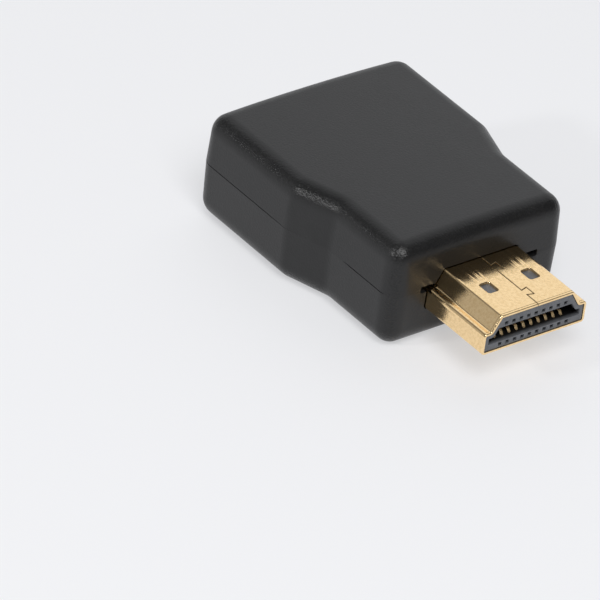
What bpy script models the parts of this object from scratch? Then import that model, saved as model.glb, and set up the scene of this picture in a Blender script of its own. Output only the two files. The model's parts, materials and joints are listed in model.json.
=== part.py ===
"""Inline surge protector for a digital audio and video lead: a plug at one end, a socket at the other.

Two moulded half shells close around a small board that carries the protection arrays. The plug's
stamped shell leaves one end, and the matching socket sits in a bezel at the other.

Sizes are in millimetres and become metres as each mesh is made. X runs from the socket's mouth to
the plug's tip, Y across, and Z up, with the narrow side of both connectors on top. The model's
origin is under its middle, on the plane that it rests on.
"""
import math

import bmesh
import bpy
from mathutils import Vector

MM = 0.001

# Housing
BODY_LENGTH = 31.9
SOCKET_END_WIDTH = 27.1
PLUG_END_WIDTH = 23.5
BODY_HEIGHT = 12.9
JOG_START = 15.7
JOG_END = 21.1
PLAN_CORNER_RADIUS = 2.3
JOG_RADIUS = 3.0
TOP_EDGE_RADIUS = 2.1
BOTTOM_EDGE_RADIUS = 2.4
SIDE_DRAFT = 0.15
WALL = 1.6
PARTING_HEIGHT = 6.9
PARTING_GAP = 0.06
PARTING_BEVEL = 0.08
LIP_HEIGHT = 0.8
LIP_CLEARANCE = 0.1
INNER_CORNER_RADIUS = 0.6

# Supports inside the housing
RIB_THICKNESS = 1.2
RIB_SETBACK = 0.05
SADDLE_CLEARANCE = 0.05
COLLAR_RIB_START = 4.0
PLUG_RIB_SETBACK = 3.0
BOSS_RADIUS = 1.3
PIN_RADIUS = 0.65
PIN_CLEARANCE = 0.1
PIN_LENGTH = 1.8
PIN_ROOT = 1.0
BOSS_WALL_GAP = 0.2
SOCKET_BOSS_X = 8.5
PLUG_BOSS_X = 23.0

# The D outline of the plug's shell, narrow side up, measured outside
CONNECTOR_HEIGHT = 6.6
PLUG_WIDTH = 13.9
PLUG_HEIGHT = 4.45
PLUG_SIDE_HEIGHT = 2.66
PLUG_SHELF = 0.95
PLUG_SLANT = 1.1
PLUG_CORNER_RADIUS = 0.45
HOLLOW_CORNER_RADIUS = 0.3

# Plug shell
PLUG_REACH = 9.7
PLUG_SEAT_LENGTH = 7.4
PLUG_SHEET = 0.3
PLUG_RIM_RADIUS = 0.14
PLUG_OPENING_GAP = 0.18
SHOULDER_NOTCH_WIDTH = 1.0
SHOULDER_NOTCH_HEIGHT = 0.9
LATCH_HOLE_SPACING = 5.6
LATCH_HOLE_SETBACK = 4.9
LATCH_HOLE_LENGTH = 1.85
LATCH_HOLE_WIDTH = 1.4
LATCH_HOLE_RADIUS = 0.3
SEAM_WIDTH = 0.06
SEAM_TAB_SETBACKS = (2.4, 7.6)
SEAM_TAB_LENGTH = 1.35
SEAM_TAB_REACH = 0.8
SEAM_TAB_UNDERCUT = 0.22
EAR_REACH = 1.1
EAR_HEIGHT = 1.8

# Insulators and contact rows
PLUG_INSULATOR_RECESS = 0.12
INSULATOR_CLEARANCE = 0.04
INSULATOR_OVERHANG = 0.4
CONTACT_PITCH = 1.0
WIDE_ROW_COUNT = 10
NARROW_ROW_COUNT = 9
ROW_DROP = 0.25
CONTACT_WIDTH = 0.36
CONTACT_SHEET = 0.14
CHANNEL_CLEARANCE = 0.05
CHANNEL_HEIGHT = 0.42
CHANNEL_WALL = 0.165
CHANNEL_WEB = 0.9
SLOT_HALF_HEIGHT = 0.875
SLOT_SIDE_WALL = 0.5
SLOT_DEPTH = 7.5
TIP_RUN = 0.145
ARCH_SETBACK = 1.45
ARCH_HEIGHT = 0.55
ARCH_CROWN = 0.05
BEAM_END_SETBACK = 5.0

# Socket shell
MATING_CLEARANCE = 0.05
SOCKET_CORNER_RADIUS = 0.1
SOCKET_SHEET = 0.3
SOCKET_LENGTH = 11.0
MOUTH_FLARE = 0.3
MOUTH_FLARE_LENGTH = 0.7
MOUTH_EDGE = 0.08
SPRING_SPACING = 5.6
SPRING_WIDTH = 1.5
SPRING_SHEET = 0.24
SPRING_WINDOW_START = 1.5
SPRING_WINDOW_LENGTH = 5.6
SPRING_SIDE_GAP = 0.35
SPRING_REACH = 0.6
SPRING_ROOT = 0.5
SPRING_CREST_SETBACK = 1.4

# Socket tongue
TONGUE_SETBACK = 1.6
TONGUE_WIDTH = 11.6
TONGUE_HALF_HEIGHT = 0.65
TONGUE_TIP_BEVEL = 0.25
TONGUE_BLOCK_START = 8.6
TONGUE_ROOT = 1.0
GROOVE_DEPTH = 0.1
GROOVE_FLOOR_GAP = 0.02
SOCKET_CONTACT_SETBACK = 0.35

# Bezel around the socket
BEZEL_MIDDLE = 6.7
BEZEL_WIDTH = 19.2
BEZEL_HEIGHT = 8.4
BEZEL_CORNER_RADIUS = 0.25
BEZEL_THICKNESS = 2.8
BEZEL_GAP = 0.08
BEZEL_EAR_REACH = 1.2
BEZEL_EAR_HEIGHT = 5.2
BEZEL_EAR_THICKNESS = 1.1
RIM_GAP = 0.06
RIM_RECESS_WIDTH = 1.0
RIM_RECESS_DEPTH = 0.12
COLLAR_WALL = 1.2
COLLAR_LENGTH = 6.5

# Board and its parts
BOARD_THICKNESS = 1.6
BOARD_WIDTH = 13.4
BOARD_CORNER_RADIUS = 0.5
BOARD_END_GAP = 0.3
SOLDER_GAP = 0.03
TAIL_LENGTH = 1.5
TAIL_BEND = 0.4
ARRAY_LENGTH = 2.5
ARRAY_WIDTH = 1.2
ARRAY_HEIGHT = 0.55
ARRAY_SETBACK = 2.4
ARRAY_SPACING = 5.0
ARRAY_BEVEL = 0.1

# Length by which cutting tools stand out of the faces that they open
CUT_OVERSHOOT = 1.0

# Facets
ARC_STEPS = 5
ROUND_STEPS = 16
SMALLEST_RADIUS = 0.05
ARC_SHARE_OF_SIDE = 0.48

# Sizes that follow from those above
OVERALL_LENGTH = BODY_LENGTH + PLUG_REACH
ROW_PLANE = CONNECTOR_HEIGHT - ROW_DROP
ROW_HEIGHT = SLOT_HALF_HEIGHT + CHANNEL_WALL + CHANNEL_HEIGHT / 2
PLUG_SHELL_LENGTH = PLUG_REACH + PLUG_SEAT_LENGTH
PLUG_REAR_X = OVERALL_LENGTH - PLUG_SHELL_LENGTH - INSULATOR_OVERHANG
SOCKET_REAR_X = SOCKET_LENGTH + INSULATOR_OVERHANG
BOARD_START = SOCKET_REAR_X + BOARD_END_GAP
BOARD_END = PLUG_REAR_X - BOARD_END_GAP
BOARD_MIDDLE = (BOARD_START + BOARD_END) / 2
TAIL_HEIGHT = BOARD_THICKNESS / 2 + SOLDER_GAP + CONTACT_SHEET / 2
SOCKET_INNER_MARGIN = -MATING_CLEARANCE
SOCKET_OUTER_MARGIN = SOCKET_INNER_MARGIN - SOCKET_SHEET
COLLAR_MARGIN = SOCKET_OUTER_MARGIN - RIM_GAP - COLLAR_WALL
INNER_INSET = WALL + SIDE_DRAFT
FACE_X = SIDE_DRAFT / 2
ROOT_DEPTH = WALL / 3
PLUG_RIB_X = BODY_LENGTH - WALL - PLUG_RIB_SETBACK - RIB_THICKNESS


def moved_corners(corners, inset):
    """Corners of an anticlockwise outline once its sides have moved in by inset, with their turns."""
    moved = []
    for index, (a, b, radius) in enumerate(corners):
        corner = Vector((a, b))
        before = (corner - Vector(corners[index - 1][:2])).normalized()
        after = (Vector(corners[(index + 1) % len(corners)][:2]) - corner).normalized()
        inward = Vector((-before.y, before.x))
        next_inward = Vector((-after.y, after.x))
        corner += (inward + next_inward) * inset / (1 + inward.dot(next_inward))
        moved.append((corner, before, inward, math.atan2(before.cross(after), before.dot(after)), radius))
    return moved


def rounded_outline(corners, inset=0.0):
    """Closed anticlockwise outline through (a, b, radius) corners, with its sides moved in by inset.

    Each arc keeps its centre as the outline shrinks, so a convex corner's radius loses the inset and
    a hollow corner's gains it, as far as the sides beside it leave room.
    """
    moved = moved_corners(corners, inset)
    points = []
    for index, (corner, before, inward, turn, radius) in enumerate(moved):
        side = math.copysign(1, turn)
        room = min((corner - moved[index - 1][0]).length,
                   (moved[(index + 1) % len(moved)][0] - corner).length) * ARC_SHARE_OF_SIDE
        tangent = math.tan(abs(turn) / 2)
        arc_radius = min(max(radius - side * inset, SMALLEST_RADIUS), room / tangent)
        start = corner - before * arc_radius * tangent
        centre = start + inward * side * arc_radius
        arm = start - centre
        for step in range(ARC_STEPS + 1):
            angle = turn * step / ARC_STEPS
            points.append((centre.x + arm.x * math.cos(angle) - arm.y * math.sin(angle),
                           centre.y + arm.x * math.sin(angle) + arm.y * math.cos(angle)))
    return points


def band_outline(path, thickness):
    """Closed outline of a strip of the given thickness along an open path, with mitred bends."""
    left = []
    right = []
    for index, point in enumerate(path):
        here = Vector(point)
        before = (here - Vector(path[index - 1])).normalized() if index else None
        after = (Vector(path[index + 1]) - here).normalized() if index + 1 < len(path) else None
        before = before or after
        after = after or before
        normal = Vector((-before.y - after.y, before.x + after.x)).normalized()
        reach = thickness / 2 / normal.dot(Vector((-after.y, after.x)))
        left.append(tuple(here + normal * reach))
        right.append(tuple(here - normal * reach))
    return left + right[::-1]


def at_x(outline, x):
    """Ring of (y, z) points in the plane at x."""
    return [(x, y, z) for y, z in outline]


def at_y(outline, y):
    """Ring of (x, z) points in the plane at y."""
    return [(x, y, z) for x, z in outline]


def at_z(outline, z):
    """Ring of (x, y) points in the plane at z."""
    return [(x, y, z) for x, y in outline]


def loft(rings, closed=False):
    """Skin through rings of equal length, capped at both ends or closed on its own first ring."""
    size = len(rings[0])
    vertices = [point for ring in rings for point in ring]
    faces = []
    for ring in range(len(rings) if closed else len(rings) - 1):
        first = ring * size
        second = (ring + 1) % len(rings) * size
        for point in range(size):
            following = (point + 1) % size
            faces.append((first + point, first + following, second + following, second + point))
    if not closed:
        faces.append(tuple(range(size)))
        faces.append(tuple(range(len(vertices) - size, len(vertices))))
    return vertices, faces


def prism(place, outline, low, high):
    """Outline carried from low to high by place, which is at_x, at_y or at_z."""
    return loft([place(outline, low), place(outline, high)])


def box(low, high):
    """Block between two opposite corners."""
    outline = [(low[0], low[1]), (high[0], low[1]), (high[0], high[1]), (low[0], high[1])]
    return prism(at_z, outline, low[2], high[2])


def make_material(name, colour, roughness, metallic):
    material = bpy.data.materials.new(name)
    material.use_nodes = True
    shader = material.node_tree.nodes["Principled BSDF"]
    shader.inputs["Base Color"].default_value = (*colour, 1)
    shader.inputs["Roughness"].default_value = roughness
    shader.inputs["Metallic"].default_value = metallic
    return material


def add_object(name, solid, parent, collection):
    """Mesh object from a solid in millimetres, with its faces turned outwards."""
    vertices, faces = solid
    mesh = bpy.data.meshes.new(name)
    mesh.from_pydata([tuple(value * MM for value in point) for point in vertices], [], faces)
    form = bmesh.new()
    form.from_mesh(mesh)
    bmesh.ops.recalc_face_normals(form, faces=form.faces)
    form.to_mesh(mesh)
    form.free()
    obj = bpy.data.objects.new(name, mesh)
    obj.parent = parent
    collection.objects.link(obj)
    return obj


def add_part(name, solid, material, parent):
    """Sub-part with its material, shaded smooth across its arcs and sharp at its edges."""
    part = add_object(name, solid, parent, bpy.context.scene.collection)
    part.data.materials.append(material)
    part.data.shade_smooth()
    part.data.set_sharp_from_angle(angle=math.radians(35))
    return part


def shape(part, operation, solids):
    """Boolean of the part with hidden tools, one for each solid, in a single pass."""
    tools = bpy.data.collections.new(f"{part.name}_{operation.lower()}")
    bpy.context.scene.collection.children.link(tools)
    for index, solid in enumerate(solids):
        tool = add_object(f"{tools.name}_{index + 1}", solid, part.parent, tools)
        tool.hide_render = True
        tool.display_type = "WIRE"
    modifier = part.modifiers.new(tools.name, "BOOLEAN")
    modifier.operation = operation
    modifier.solver = "EXACT"
    modifier.operand_type = "COLLECTION"
    modifier.collection = tools


def plan_corners():
    """Housing outline from above at the parting plane."""
    wide = SOCKET_END_WIDTH / 2
    narrow = PLUG_END_WIDTH / 2
    near_side = [(0, -wide, PLAN_CORNER_RADIUS), (JOG_START, -wide, JOG_RADIUS),
                 (JOG_END, -narrow, JOG_RADIUS), (BODY_LENGTH, -narrow, PLAN_CORNER_RADIUS)]
    return near_side + [(x, -y, radius) for x, y, radius in reversed(near_side)]


def outer_half_width(x):
    """Half the housing's width at the parting plane, at a distance from the socket end."""
    share = min(max((x - JOG_START) / (JOG_END - JOG_START), 0), 1)
    return (SOCKET_END_WIDTH * (1 - share) + PLUG_END_WIDTH * share) / 2


def d_corners(low, high, corner_radius=PLUG_CORNER_RADIUS):
    """Corners of the plug's D about its centre, cut level at low and high, anticlockwise in Y and Z."""
    side = PLUG_WIDTH / 2
    shelf_height = PLUG_SIDE_HEIGHT - PLUG_HEIGHT / 2
    foot = side - PLUG_SHELF
    slope = PLUG_SLANT / (PLUG_HEIGHT - PLUG_SIDE_HEIGHT)
    top = foot - (high - shelf_height) * slope
    right = [(side, low, corner_radius), (side, shelf_height, corner_radius),
             (foot, shelf_height, HOLLOW_CORNER_RADIUS), (top, high, corner_radius)]
    return right + [(-y, z, radius) for y, z, radius in reversed(right)]


def d_outline(margin, low=None, high=None):
    """The D moved in by margin on every side, or cut at low and high where these are given."""
    low = -PLUG_HEIGHT / 2 if low is None else low - margin
    high = PLUG_HEIGHT / 2 if high is None else high + margin
    return [(y, z + CONNECTOR_HEIGHT) for y, z in rounded_outline(d_corners(low, high), margin)]


def socket_outline(margin):
    """The D with the socket's tighter corners, moved out of the plug's outline by a negative margin."""
    corners = d_corners(-PLUG_HEIGHT / 2, PLUG_HEIGHT / 2, SOCKET_CORNER_RADIUS)
    return [(y, z + CONNECTOR_HEIGHT) for y, z in rounded_outline(corners, margin)]


def rectangle(width, height, radius, middle):
    """Rounded rectangle in Y and Z about a height."""
    corners = [(-width / 2, middle - height / 2, radius), (width / 2, middle - height / 2, radius),
               (width / 2, middle + height / 2, radius), (-width / 2, middle + height / 2, radius)]
    return rounded_outline(corners)


def side_of_parting(up, reach):
    """Height at a distance from the parting plane, above it for the upper shell."""
    return PARTING_HEIGHT + reach if up else PARTING_HEIGHT - reach


def arc_profile(inset, reach, radius, outward):
    """(inset, reach) points of a quarter round, from a side wall to a floor or back again."""
    angles = [math.pi / 2 * step / ARC_STEPS for step in range(ARC_STEPS + 1)]
    points = [(inset + radius * (1 - math.cos(angle)), reach - radius * (1 - math.sin(angle)))
              for angle in angles]
    return points[::-1] if outward else points


def half_shell(up, depth, lip):
    """Half of the housing: an outer skin, the parting face with its lip, and the inner skin.

    depth is the distance from the parting plane to the outside of the shell. The skin is a loft
    through plan outlines, each given by its inset and its reach from the parting plane.
    """
    half_gap = PARTING_GAP / 2
    edge_radius = TOP_EDGE_RADIUS if up else BOTTOM_EDGE_RADIUS
    profile = arc_profile(SIDE_DRAFT, depth, edge_radius, outward=True)
    profile += [(0, half_gap + PARTING_BEVEL), (PARTING_BEVEL, half_gap)]
    if lip:
        lip_inset = WALL / 2 + LIP_CLEARANCE
        profile += [(lip_inset, half_gap), (lip_inset, -LIP_HEIGHT), (INNER_INSET, -LIP_HEIGHT)]
    else:
        profile += [(INNER_INSET, half_gap)]
    profile += arc_profile(INNER_INSET, depth - WALL, INNER_CORNER_RADIUS, outward=False)
    rings = [at_z(rounded_outline(plan_corners(), inset), side_of_parting(up, reach))
             for inset, reach in profile]
    return loft(rings)


def lip_space():
    """Room for the lower shell's lip, cut into the upper shell and whatever stands on its walls."""
    far_inset = INNER_INSET + LIP_CLEARANCE
    top = LIP_HEIGHT + LIP_CLEARANCE
    profile = [(WALL / 2, -CUT_OVERSHOOT), (WALL / 2, top), (far_inset, top), (far_inset, -CUT_OVERSHOOT)]
    rings = [at_z(rounded_outline(plan_corners(), inset), side_of_parting(True, reach))
             for inset, reach in profile]
    return loft(rings, closed=True)


def circle(x, y, radius):
    steps = [2 * math.pi * step / ROUND_STEPS for step in range(ROUND_STEPS)]
    return [(x + radius * math.cos(angle), y + radius * math.sin(angle)) for angle in steps]


def boss_places():
    """Centres of the four bosses, just clear of the lip along the side walls."""
    setback = INNER_INSET + LIP_CLEARANCE + BOSS_WALL_GAP + BOSS_RADIUS
    return [(x, side * (outer_half_width(x) - setback))
            for x in (SOCKET_BOSS_X, PLUG_BOSS_X) for side in (-1, 1)]


def rib(up, depth, x, reach):
    """Cross wall from the floor to a reach from the parting plane, rooted in floor and sides."""
    half_width = outer_half_width(x + RIB_THICKNESS) - INNER_INSET + ROOT_DEPTH
    heights = sorted((side_of_parting(up, depth - WALL + ROOT_DEPTH), side_of_parting(up, reach)))
    return box((x, -half_width, heights[0]), (x + RIB_THICKNESS, half_width, heights[1]))


def end_openings():
    """The bezel's window at one end, and at the other the plug's opening with its shoulder notches."""
    window = rectangle(BEZEL_WIDTH + 2 * BEZEL_GAP, BEZEL_HEIGHT + 2 * BEZEL_GAP,
                       BEZEL_CORNER_RADIUS, BEZEL_MIDDLE)
    shoulder = CONNECTOR_HEIGHT + PLUG_SIDE_HEIGHT - PLUG_HEIGHT / 2
    side = PLUG_WIDTH / 2
    half_height = SHOULDER_NOTCH_HEIGHT / 2
    outside = BODY_LENGTH + CUT_OVERSHOOT
    notches = [box((BODY_LENGTH - WALL / 2, centre - SHOULDER_NOTCH_WIDTH, shoulder - half_height),
                   (outside, centre + SHOULDER_NOTCH_WIDTH, shoulder + half_height))
               for centre in (-side, side)]
    inner_wall = INNER_INSET + LIP_CLEARANCE
    return [prism(at_x, window, -CUT_OVERSHOOT, inner_wall),
            prism(at_x, d_outline(-PLUG_OPENING_GAP), BODY_LENGTH - inner_wall, outside)] + notches


def saddles():
    """D holes through the ribs that hold the socket's collar and the plug."""
    return [prism(at_x, outline, x - CUT_OVERSHOOT, x + RIB_THICKNESS + CUT_OVERSHOOT)
            for outline, x in ((socket_outline(COLLAR_MARGIN - SADDLE_CLEARANCE), COLLAR_RIB_START),
                               (d_outline(-SADDLE_CLEARANCE), PLUG_RIB_X))]


def build_shell(name, up, material, parent):
    """One half shell with its ribs, bosses and end openings."""
    depth = BODY_HEIGHT - PARTING_HEIGHT if up else PARTING_HEIGHT
    rib_reach = PARTING_GAP / 2 + RIB_SETBACK
    board_face = ROW_PLANE + BOARD_THICKNESS / 2 if up else ROW_PLANE - BOARD_THICKNESS / 2
    board_reach = abs(board_face - PARTING_HEIGHT) + SADDLE_CLEARANCE
    shell = add_part(name, half_shell(up, depth, lip=not up), material, parent)
    ribs = [rib(up, depth, COLLAR_RIB_START, rib_reach),
            rib(up, depth, BOARD_MIDDLE - RIB_THICKNESS / 2, board_reach),
            rib(up, depth, PLUG_RIB_X, rib_reach)]
    root = side_of_parting(up, depth - WALL + ROOT_DEPTH)
    bosses = [prism(at_z, circle(x, y, BOSS_RADIUS), root, side_of_parting(up, rib_reach))
              for x, y in boss_places()]
    pin_top = PARTING_HEIGHT + PIN_LENGTH
    pins = [prism(at_z, circle(x, y, PIN_RADIUS), PARTING_HEIGHT - PIN_ROOT, pin_top)
            for x, y in boss_places()]
    bores = [prism(at_z, circle(x, y, PIN_RADIUS + PIN_CLEARANCE), PARTING_HEIGHT - CUT_OVERSHOOT,
                   pin_top + PIN_CLEARANCE) for x, y in boss_places()]
    shape(shell, "UNION", ribs + bosses + ([] if up else pins))
    shape(shell, "DIFFERENCE", end_openings() + saddles() + ([lip_space()] + bores if up else []))


def from_rim(setback):
    """X of a point that lies a setback behind the plug's rim."""
    return OVERALL_LENGTH - setback


def seam_path():
    """Butt seam of the plug's sheet, seen from above, with its dovetail tabs on the +Y side."""
    path = [(from_rim(-CUT_OVERSHOOT), 0)]
    for setback in SEAM_TAB_SETBACKS:
        near = setback - SEAM_TAB_LENGTH / 2
        far = setback + SEAM_TAB_LENGTH / 2
        path += [(from_rim(near + SEAM_TAB_UNDERCUT), 0), (from_rim(near), SEAM_TAB_REACH),
                 (from_rim(far), SEAM_TAB_REACH), (from_rim(far - SEAM_TAB_UNDERCUT), 0)]
    return path + [(from_rim(PLUG_SHELL_LENGTH + CUT_OVERSHOOT), 0)]


def build_plug_shell(material, parent):
    """Stamped D tube with a rounded rim, latch holes, an interlocked seam and bent-out ears."""
    rim = PLUG_RIM_RADIUS
    rear = from_rim(PLUG_SHELL_LENGTH)
    diagonal = rim * (1 - math.sqrt(0.5))
    profile = [(rear, 0), (from_rim(rim), 0), (from_rim(diagonal), diagonal), (from_rim(0), rim),
               (from_rim(0), PLUG_SHEET - rim / 2), (from_rim(rim / 2), PLUG_SHEET), (rear, PLUG_SHEET)]
    shell = add_part("plug_shell", loft([at_x(d_outline(margin), x) for x, margin in profile], closed=True),
                     material, parent)
    side = PLUG_WIDTH / 2
    ear_x = PLUG_RIB_X - SADDLE_CLEARANCE - PLUG_SHEET
    ear_low = CONNECTOR_HEIGHT - PLUG_HEIGHT / 2 + PLUG_SHEET
    ears = [box((ear_x, low, ear_low), (ear_x + PLUG_SHEET, low + EAR_REACH, ear_low + EAR_HEIGHT))
            for low in (side - PLUG_SHEET / 2, PLUG_SHEET / 2 - side - EAR_REACH)]
    shape(shell, "UNION", ears)
    top = CONNECTOR_HEIGHT + PLUG_HEIGHT / 2
    half_length = LATCH_HOLE_LENGTH / 2
    half_width = LATCH_HOLE_WIDTH / 2
    holes = []
    for y in (-LATCH_HOLE_SPACING / 2, LATCH_HOLE_SPACING / 2):
        x = from_rim(LATCH_HOLE_SETBACK)
        corners = [(x - half_length, y - half_width, LATCH_HOLE_RADIUS),
                   (x + half_length, y - half_width, LATCH_HOLE_RADIUS),
                   (x + half_length, y + half_width, LATCH_HOLE_RADIUS),
                   (x - half_length, y + half_width, LATCH_HOLE_RADIUS)]
        holes.append(prism(at_z, rounded_outline(corners), top - 2 * PLUG_SHEET, top + CUT_OVERSHOOT))
    seam = prism(at_z, band_outline(seam_path(), SEAM_WIDTH), top - 2 * PLUG_SHEET, top + CUT_OVERSHOOT)
    shape(shell, "DIFFERENCE", holes + [seam])


def row_places(count):
    """Y of each contact in a row that is centred on the connector."""
    return [(index - (count - 1) / 2) * CONTACT_PITCH for index in range(count)]


def contact_rows():
    """(name, side, places) of the wide-side row below and the narrow-side row above."""
    return [("wide", -1, row_places(WIDE_ROW_COUNT)), ("narrow", 1, row_places(NARROW_ROW_COUNT))]


def build_plug_insulator(material, parent):
    """Moulded block with the slot for a tongue and a channel for each contact."""
    front = from_rim(PLUG_INSULATOR_RECESS)
    fill = d_outline(PLUG_SHEET + INSULATOR_CLEARANCE)
    block = add_part("plug_insulator", prism(at_x, fill, PLUG_REAR_X, front), material, parent)
    slot_end = from_rim(SLOT_DEPTH)
    middle = ROW_PLANE - CONNECTOR_HEIGHT
    slot = d_outline(PLUG_SHEET + SLOT_SIDE_WALL, middle - SLOT_HALF_HEIGHT, middle + SLOT_HALF_HEIGHT)
    width = CONTACT_WIDTH / 2 + CHANNEL_CLEARANCE
    outside_front = front + CUT_OVERSHOOT
    outside_rear = PLUG_REAR_X - CUT_OVERSHOOT
    channels = []
    for _, side, places in contact_rows():
        near = SLOT_HALF_HEIGHT - CHANNEL_HEIGHT / 2
        low = ROW_HEIGHT - CHANNEL_HEIGHT / 2
        high = ROW_HEIGHT + CHANNEL_HEIGHT / 2
        web = from_rim(CHANNEL_WEB)
        channel_end = slot_end + CHANNEL_CLEARANCE
        reaches = [(outside_rear, low), (channel_end, low), (channel_end, near), (web, near),
                   (web, low), (outside_front, low), (outside_front, high), (outside_rear, high)]
        outline = [(x, ROW_PLANE + side * reach) for x, reach in reaches]
        channels += [prism(at_y, outline, y - width, y + width) for y in places]
    shape(block, "DIFFERENCE", [prism(at_x, slot, slot_end, outside_front)] + channels)


def build_plug_contacts(material, parent):
    """Bent springs: a tip behind the web, an arch into the slot, a beam and a tail on the board."""
    tip = from_rim(CHANNEL_WEB + CONTACT_SHEET)
    arch = from_rim(ARCH_SETBACK)
    tail_start = PLUG_REAR_X - CHANNEL_CLEARANCE
    path = [(tip, ROW_HEIGHT), (tip - TIP_RUN, (ROW_HEIGHT + ARCH_HEIGHT) / 2),
            (arch + CONTACT_SHEET, ARCH_HEIGHT + ARCH_CROWN), (arch, ARCH_HEIGHT),
            (arch - 2 * CONTACT_SHEET, ARCH_HEIGHT + ARCH_CROWN), (from_rim(BEAM_END_SETBACK), ROW_HEIGHT),
            (tail_start, ROW_HEIGHT), (tail_start - TAIL_BEND, TAIL_HEIGHT),
            (BOARD_END - TAIL_LENGTH, TAIL_HEIGHT)]
    for name, side, places in contact_rows():
        strip = band_outline([(x, ROW_PLANE + side * reach) for x, reach in path], CONTACT_SHEET)
        for index, y in enumerate(places):
            add_part(f"plug_contact_{name}_{index + 1}",
                     prism(at_y, strip, y - CONTACT_WIDTH / 2, y + CONTACT_WIDTH / 2), material, parent)


def build_socket_shell(material, parent):
    """Stamped D sleeve with a flared mouth and two spring fingers in each broad wall."""
    inner = SOCKET_INNER_MARGIN
    outer = SOCKET_OUTER_MARGIN
    flare = MOUTH_FLARE
    flare_end = FACE_X + MOUTH_FLARE_LENGTH
    profile = [(SOCKET_LENGTH, outer), (flare_end, outer), (FACE_X + MOUTH_EDGE, outer - flare),
               (FACE_X, outer - flare + MOUTH_EDGE), (FACE_X, inner - flare), (flare_end, inner),
               (SOCKET_LENGTH, inner)]
    sleeve = loft([at_x(socket_outline(margin), x) for x, margin in profile], closed=True)
    shell = add_part("socket_shell", sleeve, material, parent)
    window_end = SPRING_WINDOW_START + SPRING_WINDOW_LENGTH
    half_width = SPRING_WIDTH / 2
    wall_middle = PLUG_HEIGHT / 2 - (inner + outer) / 2
    bend = window_end - SPRING_ROOT
    crest = SPRING_WINDOW_START + SPRING_CREST_SETBACK
    tip = SPRING_WINDOW_START + SPRING_SIDE_GAP
    path = [(window_end + SPRING_ROOT, wall_middle), (bend, wall_middle), (crest, wall_middle - SPRING_REACH),
            (tip, wall_middle - SPRING_REACH / 2)]
    windows = []
    springs = []
    for side in (-1, 1):
        outline = band_outline([(x, CONNECTOR_HEIGHT + side * reach) for x, reach in path], SPRING_SHEET)
        heights = sorted((CONNECTOR_HEIGHT + side * (wall_middle - SOCKET_SHEET),
                          CONNECTOR_HEIGHT + side * (wall_middle + SOCKET_SHEET)))
        for y in (-SPRING_SPACING / 2, SPRING_SPACING / 2):
            half_window = half_width + SPRING_SIDE_GAP
            windows.append(box((SPRING_WINDOW_START, y - half_window, heights[0]),
                               (window_end, y + half_window, heights[1])))
            springs.append(prism(at_y, outline, y - half_width, y + half_width))
    shape(shell, "DIFFERENCE", windows)
    shape(shell, "UNION", springs)


def build_socket_insulator(material, parent):
    """Rear block that fills the sleeve, with the tongue and a groove for each contact."""
    fill = socket_outline(SOCKET_INNER_MARGIN + INSULATOR_CLEARANCE)
    block = add_part("socket_insulator", prism(at_x, fill, TONGUE_BLOCK_START, SOCKET_REAR_X),
                     material, parent)
    stations = []
    for x, bevel in ((TONGUE_SETBACK, TONGUE_TIP_BEVEL), (TONGUE_SETBACK + TONGUE_TIP_BEVEL, 0),
                     (TONGUE_BLOCK_START + TONGUE_ROOT, 0)):
        side = TONGUE_WIDTH / 2 - bevel
        reach = TONGUE_HALF_HEIGHT - bevel
        stations.append((x, [(-side, -reach), (side, -reach), (side, reach), (-side, reach)]))
    tongue = loft([at_x([(y, z + ROW_PLANE) for y, z in outline], x) for x, outline in stations])
    shape(block, "UNION", [tongue])
    width = CONTACT_WIDTH / 2 + CHANNEL_CLEARANCE
    floor = TONGUE_HALF_HEIGHT - GROOVE_DEPTH
    roof = floor + GROOVE_FLOOR_GAP + CONTACT_SHEET + 2 * CHANNEL_CLEARANCE
    start = TONGUE_SETBACK + SOCKET_CONTACT_SETBACK - CHANNEL_CLEARANCE
    end = SOCKET_REAR_X + CUT_OVERSHOOT
    grooves = []
    for _, side, places in contact_rows():
        heights = sorted((ROW_PLANE + side * floor, ROW_PLANE + side * roof))
        grooves += [box((start, y - width, heights[0]), (end, y + width, heights[1])) for y in places]
    shape(block, "DIFFERENCE", grooves)


def build_socket_contacts(material, parent):
    """Flat strips laid in the tongue's grooves, each bent outside the block to its tail on the board."""
    height = TONGUE_HALF_HEIGHT - GROOVE_DEPTH + GROOVE_FLOOR_GAP + CONTACT_SHEET / 2
    bend = SOCKET_REAR_X + CHANNEL_CLEARANCE
    path = [(TONGUE_SETBACK + SOCKET_CONTACT_SETBACK, height), (bend, height),
            (bend + TAIL_BEND, TAIL_HEIGHT), (BOARD_START + TAIL_LENGTH, TAIL_HEIGHT)]
    for name, side, places in contact_rows():
        strip = band_outline([(x, ROW_PLANE + side * reach) for x, reach in path], CONTACT_SHEET)
        for index, y in enumerate(places):
            add_part(f"socket_contact_{name}_{index + 1}",
                     prism(at_y, strip, y - CONTACT_WIDTH / 2, y + CONTACT_WIDTH / 2), material, parent)


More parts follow.
